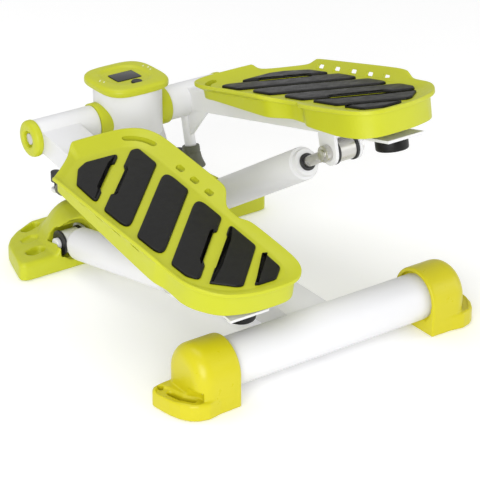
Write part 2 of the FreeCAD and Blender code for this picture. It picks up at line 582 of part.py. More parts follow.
def lowered(sign):
    # where the guard drops to the low rim: the heel end, and the lip at the outer toe corner
    beyond, behind = "1.2 * tray_outer", "-tray_heel - lip_width"
    heel = [("tray_inner - lip_width", behind), ("tray_inner - lip_width", "-guard_step"),
            ("guard_middle", "-guard_step"), ("guard_middle", "-guard_end"), (beyond, "-guard_end"),
            (beyond, behind)]
    lip = [("toe_corner", "-tray_toe + lip_width"), ("toe_corner - lip_front", "-tray_toe - lip_width"),
           ("tray_outer - lip_back", "-outer_front - lip_width"), ("tray_outer + lip_width", "-outer_front"),
           (beyond, "-tray_toe + lip_width")]
    return [slab([(f"{sign} * ( {x} )", y) for x, y in corners], "tray_guard", "low_rim")
            for corners in (heel, lip)]


def guardSlots(sign):
    slots = []
    for edge, first, pitch, count in (("tray_inner", "inner_slot_first", "inner_slot_pitch", 3),
                                      ("tray_outer", "outer_slot_first", "outer_slot_pitch", 5)):
        for i in range(count):
            slots.append(box("slot_width", "slot_length", "slot_height", f"{sign} * {edge}",
                             f"-1 * ( {first} + {i} * {pitch} )", "tray_guard - slot_drop"))
    return slots


def tray(name, sign):
    floor = trayOutline(sign, "guard_slope / 2", "tray_floor - tray_wall", "tray_wall")
    rim = cut(trayOutline(sign, "0", "tray_floor - tray_wall", "tray_guard - tray_floor + tray_wall"),
              trayOutline(sign, "tray_wall", "tray_floor", "tray_guard"))
    overlap = "tray_wall / 3"
    skirt = cut(trayOutline(sign, "skirt_inset", "0", f"tray_floor - {overlap}"),
                trayOutline(sign, "skirt_inset + tray_wall", "-tray_wall", "tray_floor"))
    wedge = slab([("0", "-tray_floor"), ("0", "tray_floor - tray_wall"),
                  ("-skirt_start", "tray_floor - tray_wall - 1"), ("-skirt_deep", "0"),
                  ("-skirt_deep", "-tray_floor")], "3 * tray_outer", "-1.5 * tray_outer", plane="YZ_Plane")
    spots, arm_top = screwSpots(sign), "( arm_depth - arm_below )"
    bosses = [rod("screw_head + boss_wall", f"tray_floor - {arm_top}", "z", x, y, arm_top) for x, y in spots]
    pilots = [rod("screw_radius", f"tray_floor - {overlap}", "z", x, y, "0") for x, y in spots]
    body = fuse(floor, cut(rim, *lowered(sign)), cut(skirt, wedge), *bosses)
    node(cut(body, *pilots, *guardSlots(sign)), f"pedal_{name}", name)
    screws = [fuse(rod("screw_head", "screw_head_height", "z", x, y, "-arm_below - screw_head_height"),
                   rod("screw_radius", f"tray_floor - {overlap} + arm_below", "z", x, y, "-arm_below"))
              for x, y in spots]
    node(fuse(*screws), f"pedal_screws_{name}", name)


def groove(sign, number, width, middle=None):
    # a slanting gap between two pads; with a middle it is only a short, wide notch
    block = doc.addObject("Part::Box", "Groove")
    long = "notch_length" if middle else "3 * tray_outer"
    bind(block, Length=long, Width=width, Height="2 * pad_thickness")
    angle = "-pad_slope" if sign == "1" else "pad_slope - 180"
    swing(block, "z", angle)
    along = f"( {middle or 'tray_outer'} )"
    across = f"( pad_first + {number} * pad_pitch + {along} * tan(pad_slope * 1deg) )"
    # the block's corner lies half its length back along the gap and half its width to the side
    back_x = f"( ( {long} ) / 2 * cos(pad_slope * 1deg) )"
    back_y = f"( ( {long} ) / 2 * sin(pad_slope * 1deg) )"
    side_x, side_y = f"( {width} / 2 * sin(pad_slope * 1deg) )", f"( {width} / 2 * cos(pad_slope * 1deg) )"
    if sign == "1":
        place = f"{along} - {back_x} - {side_x}", f"-1 * {across} + {back_y} - {side_y}"
    else:
        place = f"-1 * {along} + {back_x} - {side_x}", f"-1 * {across} + {back_y} + {side_y}"
    return put(block, *place, "tray_floor - pad_thickness / 2")


def pads(name, sign):
    # one rubber field, parted by slanting grooves into six pads; two of the grooves widen half way
    outer, heel = "tray_outer - pad_outer", "-tray_heel + pad_heel"
    corners = [("tray_inner + pad_inner", "-tray_toe - pad_toe"), ("toe_corner", "-tray_toe - pad_toe"),
               (outer, "-tray_toe - pad_toe - pad_cheek"), (outer, "-outer_front - 3 * pad_cheek"),
               (f"{outer} - pad_cheek / 5", "-tray_heel + pad_heel + 1.3 * pad_cheek"),
               ("heel_corner", "-tray_heel + pad_heel + pad_cheek / 3"),
               ("tray_inner + pad_inner + pad_heel_inset", heel), ("tray_inner + pad_inner", heel)]
    field = slab([(f"{sign} * ( {x} )", y) for x, y in corners], "pad_thickness", "tray_floor",
                 rounds={0: 8, 1: 12, 2: 12, 4: 8, 5: 12, 7: 12})
    grooves = [groove(sign, i, "pad_gap") for i in range(5)]
    grooves += [groove(sign, 0, "pad_notch", "first_notch"), groove(sign, 3, "pad_notch", "second_notch")]
    node(cut(field, *grooves), f"pads_{name}", name)


def upperBracket(name, sign):
    y, z = "-upper_eye_back", "-upper_eye_below"
    inner, deep = "( eye_half + lug_gap )", "2 * flange_radius"
    pieces = [box(f"2 * ( {inner} + lug )", deep, "lug", f"{sign} * arm_middle", y, "-arm_below - lug")]
    for side in ("-", "+"):
        x = f"{sign} * arm_middle {side} ( {inner} + lug / 2 )"
        pieces.append(box("lug", deep, "upper_eye_below - arm_below", x, y, z))
        pieces.append(rod("flange_radius", "lug", "x", x, y, z, True))
    hole = rod("pin_radius", "6 * flange_radius", "x", f"{sign} * arm_middle", y, z, True)
    node(cut(fuse(*pieces), hole), f"upper_bracket_{name}", name)
    reach, big = f"( {inner} + lug )", "pin_radius + bolt_head_step"
    tail = "( nut + bolt_end )"
    shank = rod("pin_radius", f"2 * {reach} + {tail}", "x", f"{sign} * ( arm_middle - {tail} / 2 )", y, z, True)
    head = rod(big, "bolt_head", "x", f"{sign} * ( arm_middle + {reach} + bolt_head / 2 )", y, z, True)
    nut = rod(big, "nut", "x", f"{sign} * ( arm_middle - {reach} - nut / 2 )", y, z, True)
    node(fuse(shank, head, nut), f"upper_bolt_{name}", name)


# cylinders

def bushPair(x, bore):
    flanges = [pipe("flange_radius", bore, "flange", "x", f"{x} {side} ( eye_length + flange ) / 2", centred=True)
               for side in ("-", "+")]
    return fuse(pipe("bush_radius", bore, "eye_length", "x", x, centred=True), *flanges)


def cylinder(name, sign):
    x, frame = f"{sign} * arm_middle", name + "_barrel"
    eye = rod("eye_radius", "eye_length", "x", x, centred=True)
    body = rod("barrel_radius", "barrel_end - barrel_start", "y", x, "-barrel_end")
    heel = cone("barrel_radius", "barrel_radius - heel_step", "heel_length", "y", x, "-barrel_start")
    nose = rod("nose_radius", "nose_length", "y", x, "-barrel_end - nose_length")
    hollow = rod("bore_radius", "barrel_end - barrel_start - bore_end - bore_start", "y", x,
                 "-barrel_end + bore_end")
    throat = rod("rod_radius + running_gap", "3 * nose_length", "y", x, "-barrel_end - 2 * nose_length")
    # room beside the eye for the bush flanges
    cheeks = [rod("flange_radius + face_gap", "eye_length", "x", f"{x} {side} eye_length", centred=True)
              for side in ("-", "+")]
    solid = cut(fuse(body, heel, nose), hollow, throat, *cheeks)
    node(cut(fuse(eye, solid), rod("bush_radius", "2 * eye_length", "x", x, centred=True)),
         f"barrel_{name}", frame)
    node(bushPair(x, "pin_radius + running_gap"), f"lower_bushes_{name}", frame)
    node(pipe("seal_radius", "rod_radius + running_gap", "seal_length", "y", x,
              "-barrel_end - nose_length - seal_length"), f"gland_seal_{name}", frame)
    frame = name + "_rod"
    eye = rod("eye_radius", "eye_length", "x", x, centred=True)
    shank = rod("rod_radius", "rod_length", "y", x, "0")
    collar = rod("collar_radius", "collar_length", "y", x, "eye_radius - collar_length / 3")
    piston = rod("bore_radius - running_gap", "piston_length", "y", x, "rod_length - piston_length")
    node(cut(fuse(eye, shank, collar, piston), rod("bush_radius", "2 * eye_length", "x", x, centred=True)),
         f"rod_{name}", frame)
    node(bushPair(x, "pin_radius + open_gap"), f"upper_bushes_{name}", frame)


def check():
    doc.recompute()
    failed = [o.Label for o in doc.Objects if {"Invalid", "Error"} & set(o.State)]
    failed += [n.Label for n in nodes if n.Shape.isNull() or not n.Shape.isValid() or not n.Shape.Solids]
    if failed:
        raise SystemExit("failed: " + ", ".join(sorted(set(failed))))


fillSheet()
addDerived()
rearTube()
mainTube()
crossTube()
upright()
postHousing()
pivotShaft()
saddleRings()
endCaps()
for side, sign in (("left", "-1"), ("right", "1")):
    rearCap(side, sign)
    sleeve(side, sign)
    arm(side, sign)
    lever(side, sign)
    tray(side, sign)
    pads(side, sign)
    upperBracket(side, sign)
    cylinder(side, sign)
frontCover()
lowerBrackets()
console()
rocker()
check()
os.makedirs("parts", exist_ok=True)
for piece in nodes:
    piece.Shape.exportStep(f"parts/{piece.Label}.step")
    print(piece.Label, len(piece.Shape.Solids), round(piece.Shape.Volume / 1000, 2))
print(len(nodes), "nodes")
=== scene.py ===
import json
import math
import bmesh
import bpy
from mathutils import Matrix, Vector

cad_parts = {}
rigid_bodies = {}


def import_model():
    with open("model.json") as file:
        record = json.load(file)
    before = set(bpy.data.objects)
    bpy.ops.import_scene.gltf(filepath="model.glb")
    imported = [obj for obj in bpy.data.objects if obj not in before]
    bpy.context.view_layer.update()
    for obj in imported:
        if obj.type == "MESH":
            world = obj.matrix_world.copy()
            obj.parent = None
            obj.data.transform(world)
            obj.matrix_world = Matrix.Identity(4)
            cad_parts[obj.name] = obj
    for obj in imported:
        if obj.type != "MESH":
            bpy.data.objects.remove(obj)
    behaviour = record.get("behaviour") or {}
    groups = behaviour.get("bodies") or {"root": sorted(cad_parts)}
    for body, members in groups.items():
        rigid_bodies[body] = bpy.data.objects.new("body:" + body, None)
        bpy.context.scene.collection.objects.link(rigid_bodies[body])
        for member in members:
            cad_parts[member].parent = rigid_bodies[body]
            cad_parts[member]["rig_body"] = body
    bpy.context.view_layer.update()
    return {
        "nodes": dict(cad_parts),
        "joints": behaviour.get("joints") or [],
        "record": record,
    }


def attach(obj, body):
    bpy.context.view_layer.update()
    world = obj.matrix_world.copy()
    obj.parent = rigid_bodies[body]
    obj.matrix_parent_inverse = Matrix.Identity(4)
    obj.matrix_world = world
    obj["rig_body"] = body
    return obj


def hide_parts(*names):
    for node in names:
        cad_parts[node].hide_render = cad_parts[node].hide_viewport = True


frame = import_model()

millimetre = 0.001
pivot = Vector(next(j["pos_m"] for j in frame["joints"] if j["name"] == "left_pedal_pivot"))
slotOf = {item["node"]: item["material_slot"] for item in frame["record"]["subparts"]}
bodyOf = {node: obj["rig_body"] for node, obj in frame["nodes"].items()}
collection = bpy.context.scene.collection
tilt = {"left": math.radians(8.45), "right": math.radians(-13.15)}
hand = {"left": -1, "right": 1}
view = {
    "azimuth": -35.2, "elevation": 26.1, "distance": 2.093, "lens": 151.65,
    "target": (-0.0159, -0.2388, -0.057),    # from the shaft's middle
}


# finishes

def link(tree, source, output, target, field):
    tree.links.new(source.outputs[output], target.inputs[field])


def coat(name, colour, rough, metal=0, grain=1500, depth=0.00004, mottle=0.06, patch=14, spread=0.08,
         sheen=0, sheenRough=0.4, gloss=0.5, streak=(1, 1, 1)):
    # a paint or plastic: fine grain in the bump, slow patches in colour and roughness, faint rub marks
    m = bpy.data.materials.new(name)
    m.use_nodes = True
    tree = m.node_tree
    surface = tree.nodes["Principled BSDF"]
    surface.inputs["Metallic"].default_value = metal
    surface.inputs["Specular IOR Level"].default_value = gloss
    surface.inputs["Sheen Weight"].default_value = sheen
    surface.inputs["Sheen Roughness"].default_value = sheenRough
    place = tree.nodes.new("ShaderNodeTexCoord")
    stretch = tree.nodes.new("ShaderNodeMapping")
    stretch.inputs["Scale"].default_value = streak
    link(tree, place, "Object", stretch, "Vector")
    slow, fine, rub = [tree.nodes.new("ShaderNodeTexNoise") for each in range(3)]
    for noise, scale, detail in ((slow, patch, 5), (fine, grain, 3), (rub, patch * 7, 8)):
        noise.inputs["Scale"].default_value = scale
        noise.inputs["Detail"].default_value = detail
        noise.inputs["Roughness"].default_value = 0.6
        link(tree, stretch, "Vector", noise, "Vector")
    blend = tree.nodes.new("ShaderNodeMix")
    blend.data_type = "RGBA"
    blend.inputs[6].default_value = (*[c * (1 - mottle) for c in colour], 1)
    blend.inputs[7].default_value = (*[min(1, c * (1 + mottle)) for c in colour], 1)
    link(tree, slow, "Fac", blend, 0)
    tree.links.new(blend.outputs[2], surface.inputs["Base Color"])
    spreadNode = tree.nodes.new("ShaderNodeMapRange")
    spreadNode.inputs["From Min"].default_value = 0.3
    spreadNode.inputs["From Max"].default_value = 0.7
    spreadNode.inputs["To Min"].default_value = rough - spread
    spreadNode.inputs["To Max"].default_value = rough + spread
    link(tree, rub, "Fac", spreadNode, "Value")
    link(tree, spreadNode, "Result", surface, "Roughness")
    bump = tree.nodes.new("ShaderNodeBump")
    bump.inputs["Strength"].default_value = 1
    bump.inputs["Distance"].default_value = depth
    link(tree, fine, "Fac", bump, "Height")
    soft = tree.nodes.new("ShaderNodeBump")
    soft.inputs["Distance"].default_value = depth * 3
    soft.inputs["Strength"].default_value = 0.4
    link(tree, rub, "Fac", soft, "Height")
    link(tree, bump, "Normal", soft, "Normal")
    link(tree, soft, "Normal", surface, "Normal")
    return m


finishes = {
    "white_frame": coat("whiteCoat", (0.78, 0.78, 0.80), 0.4, grain=2200, depth=0.00003, mottle=0.012),
    "lime_plastic": coat("limePlastic", (0.53, 0.56, 0.018), 0.42, grain=2600, mottle=0.03, gloss=0.4),
    "zinc_steel": coat("zinc", (0.62, 0.61, 0.58), 0.3, 1, grain=900, depth=0.00003, streak=(0.35, 1, 1)),
    "black_plastic": coat("blackPlastic", (0.018, 0.018, 0.019), 0.42, grain=2400),
    "pad_rubber": coat("padRubber", (0.007, 0.0068, 0.0068), 0.4, depth=0.00006, mottle=0.2,
                       gloss=0.24, spread=0.1),
    "boot_rubber": coat("bootRubber", (0.1, 0.105, 0.07), 0.55, depth=0.00006, sheen=0.2, mottle=0.1),
    "display_glass": coat("displayGlass", (0.034, 0.034, 0.037), 0.22, grain=700, depth=0.000004, spread=0.04),
    "display_dark": coat("displayDark", (0.05, 0.05, 0.055), 0.4, grain=1200),
    "board_green": coat("boardGreen", (0.02, 0.12, 0.05), 0.4, grain=1000),
    "battery_sleeve": coat("batterySleeve", (0.25, 0.25, 0.28), 0.3, grain=900),
    "nylon": coat("nylon", (0.5, 0.49, 0.45), 0.5, grain=1200),
}
capLime = coat("limeCap", (0.60, 0.54, 0.008), 0.34, grain=2600, depth=0.00003, mottle=0.03, gloss=0.4)
printPale = coat("printPale", (0.75, 0.77, 0.5), 0.5, grain=1800)


# mesh helpers

def addPiece(name, points, faces, replaced, finish=None, smooth=35, body=None, slotName=None):
    # a new piece in the CAD's place; replaced names the node it stands for
    return dress(closedMesh(name, points, faces), replaced, finish, smooth, body, slotName)


def closedMesh(name, points, faces):
    # an object whose doubled points are joined and whose faces all look outwards
    mesh = bpy.data.meshes.new(name)
    mesh.from_pydata([tuple(p) for p in points], [], faces)
    b = bmesh.new()
    b.from_mesh(mesh)
    bmesh.ops.remove_doubles(b, verts=b.verts, dist=1e-6)
    bmesh.ops.recalc_face_normals(b, faces=b.faces)
    b.to_mesh(mesh)
    b.free()
    made = bpy.data.objects.new(name, mesh)
    collection.objects.link(made)
    return made


def dress(piece, replaced, finish=None, smooth=35, body=None, slotName=None):
    nodes = [replaced] if isinstance(replaced, str) else list(replaced)
    home = slotName or slotOf[nodes[0]]
    for polygon in piece.data.polygons:
        polygon.use_smooth = True
    piece.data.set_sharp_from_angle(angle=math.radians(smooth))
    piece.data.materials.clear()
    piece.data.materials.append(finish or finishes[home])
    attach(piece, body or bodyOf[nodes[0]])
    if nodes:
        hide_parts(*nodes)
    return piece


def joinParts(parts):
    # several (points, faces) into one list
    points, faces = [], []
    for morePoints, moreFaces in parts:
        faces += [[i + len(points) for i in face] for face in moreFaces]
        points += list(morePoints)
    return points, faces


def loft(rings, loop=False):
    # skin over rings of equally many points; the ends are capped unless the rings loop
    count = len(rings[0])
    points = [p for ring in rings for p in ring]
    faces = []
    for a in range(len(rings) if loop else len(rings) - 1):
        b = (a + 1) % len(rings)
        for i in range(count):
            j = (i + 1) % count
            faces.append([a * count + i, a * count + j, b * count + j, b * count + i])
    if not loop:
        faces.append(list(range(count)))
        faces.append([(len(rings) - 1) * count + i for i in range(count)])
    return points, faces


def lathe(profile, origin, axis, steps=56, loop=False):
    # profile of (along, radius) in millimetres turned about the axis
    axis = Vector(axis).normalized()
    side = axis.orthogonal().normalized()
    other = axis.cross(side)
    rings = []
    for along, radius in profile:
        middle = Vector(origin) + axis * along * millimetre
        rings.append([middle + (side * math.cos(t) + other * math.sin(t)) * max(radius, 0.001) * millimetre
                      for t in (2 * math.pi * i / steps for i in range(steps))])
    return loft(rings, loop)


def roundCorners(corners, radius, steps=6):
    # every corner of a closed outline becomes an arc; radius is one number or one per corner
    out = []
    for i, corner in enumerate(corners):
        r = radius[i] if isinstance(radius, (list, tuple)) else radius
        here = Vector(corner)
        before, after = Vector(corners[i - 1]) - here, Vector(corners[(i + 1) % len(corners)]) - here
        angle = before.angle(after)
        if r <= 0 or angle > math.radians(178):
            out.append(here)
            continue
        reach = min(r / math.tan(angle / 2), before.length * 0.48, after.length * 0.48)
        start, end = here + before.normalized() * reach, here + after.normalized() * reach
        for k in range(steps + 1):
            t = k / steps
            out.append(start * (1 - t) ** 2 + here * 2 * t * (1 - t) + end * t * t)
    return out


def inset(outline, distance):
    # moves a closed outline inwards along its corners' normals
    area = sum(a.x * b.y - b.x * a.y for a, b in zip(outline, outline[1:] + outline[:1]))
    sign = 1 if area > 0 else -1
    moved = []
    for i, here in enumerate(outline):
        along = (outline[(i + 1) % len(outline)] - outline[i - 1])
        if along.length < 1e-9:
            moved.append(here)
            continue
        normal = Vector((-along.y, along.x)).normalized() * sign
        moved.append(here + normal * distance)
    return moved


def stadium(start, end, radius, steps=9):
    # a flat outline of even width with round ends
    a, b = Vector(start), Vector(end)
    onward = (b - a).normalized()
    across = Vector((-onward.y, onward.x))
    ring = []
    for centre, sign in ((b, 1), (a, -1)):
        for k in range(steps + 1):
            t = math.pi * (k / steps - 0.5)
            ring.append(centre + onward * sign * radius * math.cos(t) + across * sign * radius * math.sin(t))
    return ring


def cutCorners(rows, rounds):
    # corner cutting on a closed list of equally long tuples
    for each in range(rounds):
        finer = []
        for i, row in enumerate(rows):
            following = rows[(i + 1) % len(rows)]
            finer.append(tuple(a * 0.75 + b * 0.25 for a, b in zip(row, following)))
            finer.append(tuple(a * 0.25 + b * 0.75 for a, b in zip(row, following)))
        rows = finer
    return rows


def soften(node, width, angle=28, segments=3, flat=0.5, smooth=32):
    # the CAD node's own shape with its edges rounded over
    mesh = frame["nodes"][node].data.copy()
    b = bmesh.new()
    b.from_mesh(mesh)
    bmesh.ops.remove_doubles(b, verts=b.verts, dist=2e-5)
    bmesh.ops.dissolve_limit(b, angle_limit=math.radians(flat), verts=b.verts, edges=b.edges)
    sharp = [e for e in b.edges if e.is_manifold and e.calc_face_angle(0) > math.radians(angle)]
    bmesh.ops.bevel(b, geom=sharp, offset=width * millimetre, offset_type="OFFSET", segments=segments,
                    profile=0.5, affect="EDGES", clamp_overlap=True)
    b.to_mesh(mesh)
    b.free()
    piece = bpy.data.objects.new("soft_" + node, mesh)
    collection.objects.link(piece)
    dress(piece, node, smooth=smooth)


def applyAll(piece):
    # the modifiers' result becomes the piece's own mesh
    depsgraph = bpy.context.evaluated_depsgraph_get()
    result = bpy.data.meshes.new_from_object(piece.evaluated_get(depsgraph))
    piece.modifiers.clear()
    piece.data = result


def carve(piece, cutters):
    # applied booleans, one for all cutters
    cutter = closedMesh("cutter", *joinParts(cutters))
    step = piece.modifiers.new("carve", "BOOLEAN")
    step.object, step.operation, step.solver = cutter, "DIFFERENCE", "EXACT"
    step.use_self = True
    applyAll(piece)
    bpy.data.objects.remove(cutter)


def onPedal(side, p, q, n):
    # pedal coordinates: p sideways from the middle, q towards the heel, n above the shaft
    c, s = math.cos(tilt[side]), math.sin(tilt[side])
    return pivot + Vector((hand[side] * p, -q * c - n * s, -q * s + n * c)) * millimetre


def pedalUp(side):
    return Vector((0, -math.sin(tilt[side]), math.cos(tilt[side])))


# pedal trays

tray = {
    "floor": 26, "under": 23, "wall": 2.6, "lip": 3.6, "deep": 340, "start": 116, "high": 17.5,
    # rim p, rim q, rim n, floor edge p, floor edge q
    "rim": [
        (121.5, 77, 36, 121, 96.5), (117, 75.8, 36, 117, 96), (90, 75.4, 36, 92, 96), (62, 76, 36, 72, 96.5),
        (47, 80, 36, 60, 101), (36, 88, 36, 53.5, 108), (29.5, 102, 36, 50.5, 118), (27.4, 120, 36, 49.5, 130),
        (26.5, 160, 36, 49, 160), (25.2, 208, 36, 48.5, 208), (25, 221, 35.8, 48.5, 223),
        (27.5, 229, 34.2, 48.5, 231), (34, 238, 31.4, 48.5, 239), (39.5, 247, 29.3, 48.5, 248),
        (41, 258, 29, 48.5, 258), (41, 271, 29, 48.5, 271), (37.5, 277, 29.2, 48.5, 279),
        (34, 284, 29.5, 48, 286), (33, 320, 29.5, 47.5, 320), (33, 358, 29.8, 47.5, 350),
        (38, 376, 29.4, 50, 363), (50, 387, 28.6, 57, 374), (66, 390, 28.3, 68, 379),
        (96, 389.3, 28.3, 94, 379), (114, 385.5, 28.7, 112, 375.5), (134, 378, 29.3, 129, 366),
        (150, 359, 30.4, 142, 351),
        (157, 343, 31, 149, 338), (159, 324, 31, 151, 323), (160, 313, 31.4, 152, 312),
        (163, 305, 34.8, 153, 304), (166, 296, 38.4, 154, 296), (168.3, 255, 38, 157, 255),
        (170.6, 211, 37, 160, 211), (172.4, 168, 36.2, 161.5, 168), (174, 131, 35.5, 162.5, 133),
        (173.4, 126.5, 34, 162, 129), (169.5, 121.8, 30.4, 160, 125.5), (165, 118, 29.5, 157, 122.5),
        (151, 106.5, 29.5, 145, 112.5), (136, 93, 29.5, 132, 102), (128, 83.5, 29.8, 128, 98.5),
        (124.5, 79.5, 32, 125, 97.5),
    ],
    "innerSlots": [(41.6, 165), (41.4, 191.5), (41.2, 218)], "outerSlots": [144, 175, 206, 237, 268],
    "toeSlot": [(63, 88.5), (54, 92), (47.5, 97.5), (43, 105), (40.5, 114)],
    "slotHalf": 3.4, "slotRadius": 3, "slotReach": (12, 44),
    "sideSlot": (6.4, 26.3, 31, 1.4), "sideReach": (158.6, 182),    # half length, low, high, corner
}


def straightSlot(side, p, q):
    # a slot cutter along the pedal
    half = tray["slotHalf"]
    ring = stadium((p, q - half), (p, q + half), tray["slotRadius"], 8)
    return loft([[onPedal(side, v.x, v.y, n) for v in ring] for n in tray["slotReach"]])


def bentSlot(side):
    # a slot cutter of even width round the toe corner
    path, radius = tray["toeSlot"], tray["slotRadius"]
    spots = [Vector(point) for point in path]
    left, right = [], []
    for i, here in enumerate(spots):
        along = (spots[min(i + 1, len(spots) - 1)] - spots[max(i - 1, 0)]).normalized()
        across = Vector((-along.y, along.x)) * radius
        left.append(here + across)
        right.append(here - across)
    tip = spots[-1] + (spots[-1] - spots[-2]).normalized() * radius
    tail = spots[0] + (spots[0] - spots[1]).normalized() * radius
    ring = cutCorners([tuple(v) for v in left + [tip] + right[::-1] + [tail]], 2)
    return loft([[onPedal(side, p, q, n) for p, q in ring] for n in tray["slotReach"]])


def skirtInset(p, q):
    # the skirt stands further in under the flared inner guard
    return 5.2 + 3.8 * max(0, min(1, (262 - q) / 30)) if p < 60 else 5.2


def sideSlot(side, q):
    # a rounded opening through the foot of the outer guard
    half, low, high, corner = tray["sideSlot"]
    shape = roundCorners([(q - half, low), (q + half, low), (q + half, high), (q - half, high)], corner, 4)
    return loft([[onPedal(side, p, v.x, v.y) for v in shape] for p in tray["sideReach"]])


def addTray(side):
    rows = cutCorners(tray["rim"], 3)
    fallen = (tray["deep"] - tray["start"]) / tray["high"]
    rings = [[] for each in range(16)]
    for p, q, n, floorP, floorQ in rows:
        rim, floor = Vector((p, q)), Vector((floorP, floorQ))
        out = (rim - floor).normalized()
        rise = n - tray["floor"]
        foot = rim - out * skirtInset(p, q)
        low = max(0.3, min(tray["high"], tray["high"] - (q - tray["start"]) / fallen))
        ledge = min(n - 4.6, 26.8)
        # from the floor up over the rim, under the lip and down the skirt
        section = [
            (floor - out * 1.5, tray["floor"]), (floor, tray["floor"] + 0.12),
            (floor + out * 1.6, tray["floor"] + 0.75),
            (rim - out * 3.2, tray["floor"] + rise * 0.9), (rim - out * 2, n - 0.25), (rim - out * 1.2, n),
            (rim - out * 0.45, n - 0.2), (rim, n - 1.1), (rim, n - tray["lip"]),
            (rim - out * 0.6, n - tray["lip"] - 0.7),
            (foot, ledge), (foot - out * 0.3, ledge - 1),
            (foot - out * 0.9, low + 0.6), (foot - out * 1.5, low),
            (foot - out * (tray["wall"] + 0.9), low),
            (foot - out * (tray["wall"] + 0.4), min(tray["under"], n - 6.5)),
        ]
        for ring, (spot, height) in zip(rings, section):
            ring.append(onPedal(side, spot.x, spot.y, height))
    piece = addPiece("tray_" + side, *loft(rings), "pedal_" + side)
    cutters = [straightSlot(side, p, q) for p, q in tray["innerSlots"]]
    cutters += [sideSlot(side, q) for q in tray["outerSlots"]]
    cutters.append(bentSlot(side))
    carve(piece, cutters)
    dress(piece, "pedal_" + side)
    print("tray", side, len(piece.data.vertices))


# foot pads

pads = {
    "bottom": 25.95, "top": 28.6, "first": 34.2, "pitch": 59.7, "gap": 7, "notchDepth": 4.6, "corner": 9,
    "field": [(57, 108), (122, 107.5), (136, 115.5), (153, 141), (153, 200), (147, 303), (145, 331),
              (131, 352.5), (112, 369), (90, 376.5), (70, 376.5), (54.5, 362), (54, 335)],
    "notches": {0: (96, 138), 3: (74, 119)},    # gap number: where the notch begins and ends
}


def clipBand(corners, limit, keepBelow):
    # keeps the part of a convex outline on one side of the line q = p + limit
    out = []
    for i, a in enumerate(corners):
        b = corners[(i + 1) % len(corners)]
        da, db = (a[1] - a[0] - limit), (b[1] - b[0] - limit)
        if keepBelow:
            da, db = -da, -db
        if da >= 0:
            out.append(a)
        if da * db < 0:
            t = da / (da - db)
            out.append((a[0] + (b[0] - a[0]) * t, a[1] + (b[1] - a[1]) * t))
    return out


def padOutline(number):
    lines = [pads["first"] + pads["pitch"] * k for k in range(5)]
    corners = pads["field"]
    if number < 5:
        corners = clipBand(corners, lines[number] - pads["gap"], True)
    if number > 0:
        corners = clipBand(corners, lines[number - 1] + pads["gap"], False)
    radii = [pads["corner"]] * len(corners)
    for gap, direction in ((number, -1), (number - 1, 1)):
        if gap not in pads["notches"]:
            continue
        edge = lines[gap] + direction * pads["gap"]
        for i, a in enumerate(corners):
            b = corners[(i + 1) % len(corners)]
            if abs(a[1] - a[0] - edge) < 0.01 and abs(b[1] - b[0] - edge) < 0.01:
                first, last = pads["notches"][gap]
                if direction > 0:
                    first, last = first - 6, last - 6
                depth = direction * pads["notchDepth"]
                step = [(first, first + edge), (first + 4, first + 4 + edge + depth),
                        (last - 4, last - 4 + edge + depth), (last, last + edge)]
                if a[0] > b[0]:
                    step.reverse()
                corners = corners[:i + 1] + step + corners[i + 1:]
                radii = radii[:i + 1] + [2.5] * 4 + radii[i + 1:]
                break
    return roundCorners(corners, radii, 7)


def addPads(side):
    parts = []
    low, high = pads["bottom"], pads["top"]
    levels = [(0.2, low), (0, low + 0.25), (0, high - 1.25), (0.28, high - 0.6), (0.85, high - 0.16),
              (1.6, high), (3.4, high + 0.06)]
    for number in range(6):
        shape = padOutline(number)
        parts.append(loft([[onPedal(side, v.x, v.y, n) for v in inset(shape, d)] for d, n in levels]))
    addPiece("pads_" + side, *joinParts(parts), "pads_" + side, smooth=50)
    print("pads", side)


# cylinders, boots and shaft caps

damper = {
    "middle": 95.5, "lowerBack": 25, "lowerHeight": 27, "upperBack": 263, "upperBelow": 34,
    # profiles of (along, radius)
    "barrel": [(16, 0), (16, 9), (16.6, 12.6), (18.4, 14.2), (22.2, 14.6), (24, 15.2), (25, 17.2), (26.4, 18.3),
               (28, 18.5), (203, 18.5), (204.4, 18.1), (205, 17.2), (205.2, 15.3), (206.2, 15), (209.8, 15),
               (210.8, 14.6), (211, 13.6), (211, 6.7), (207, 6.7), (205, 15.5), (24.5, 15.5), (24, 0)],
    "neck": [(11.6, 7.2), (11.6, 9), (17, 9.2), (17, 7.2)],
    "rod": [(204, 0), (204, 14.6), (203.4, 15.2), (196.6, 15.2), (196, 14.6), (196, 6)],
    "nut": [(21.4, 6), (20.6, 8.2), (20, 8.5), (14.2, 8.5), (13.4, 8.2), (11.6, 7.4), (11.6, 0)],
    "grooves": (193.0, 22, 2.6),    # first, last, pitch
    "eye": [(-10.4, 9.05), (-10.4, 11.7), (-9.7, 12.5), (9.7, 12.5), (10.4, 11.7), (10.4, 9.05)],
}


def eyes(side):
    lower = pivot + Vector((hand[side] * damper["middle"], -damper["lowerBack"],
                            damper["lowerHeight"] - pivot.z / millimetre)) * millimetre
    return lower, onPedal(side, damper["middle"], damper["upperBack"], -damper["upperBelow"])


def addDamper(side):
    lower, upper = eyes(side)
    across, along = Vector((1, 0, 0)), (upper - lower).normalized()
    body = lathe(damper["barrel"], lower, along, 72)
    neck = lathe(damper["neck"], lower, along, 40, True)
    ring = lathe(damper["eye"], lower, across, 56, True)
    addPiece("barrel_" + side, *joinParts([body, neck, ring]), "barrel_" + side)
    profile = list(damper["rod"])
    reach, last, pitch = damper["grooves"]
    while reach > last:
        profile += [(reach, 6), (reach - 0.5, 5.75), (reach - 1.1, 5.75), (reach - 1.6, 6)]
        reach -= pitch
    shaft = lathe(profile + damper["nut"], upper, -along, 48)
    addPiece("rod_" + side, *joinParts([shaft, lathe(damper["eye"], upper, across, 56, True)]), "rod_" + side)
    print("damper", side)


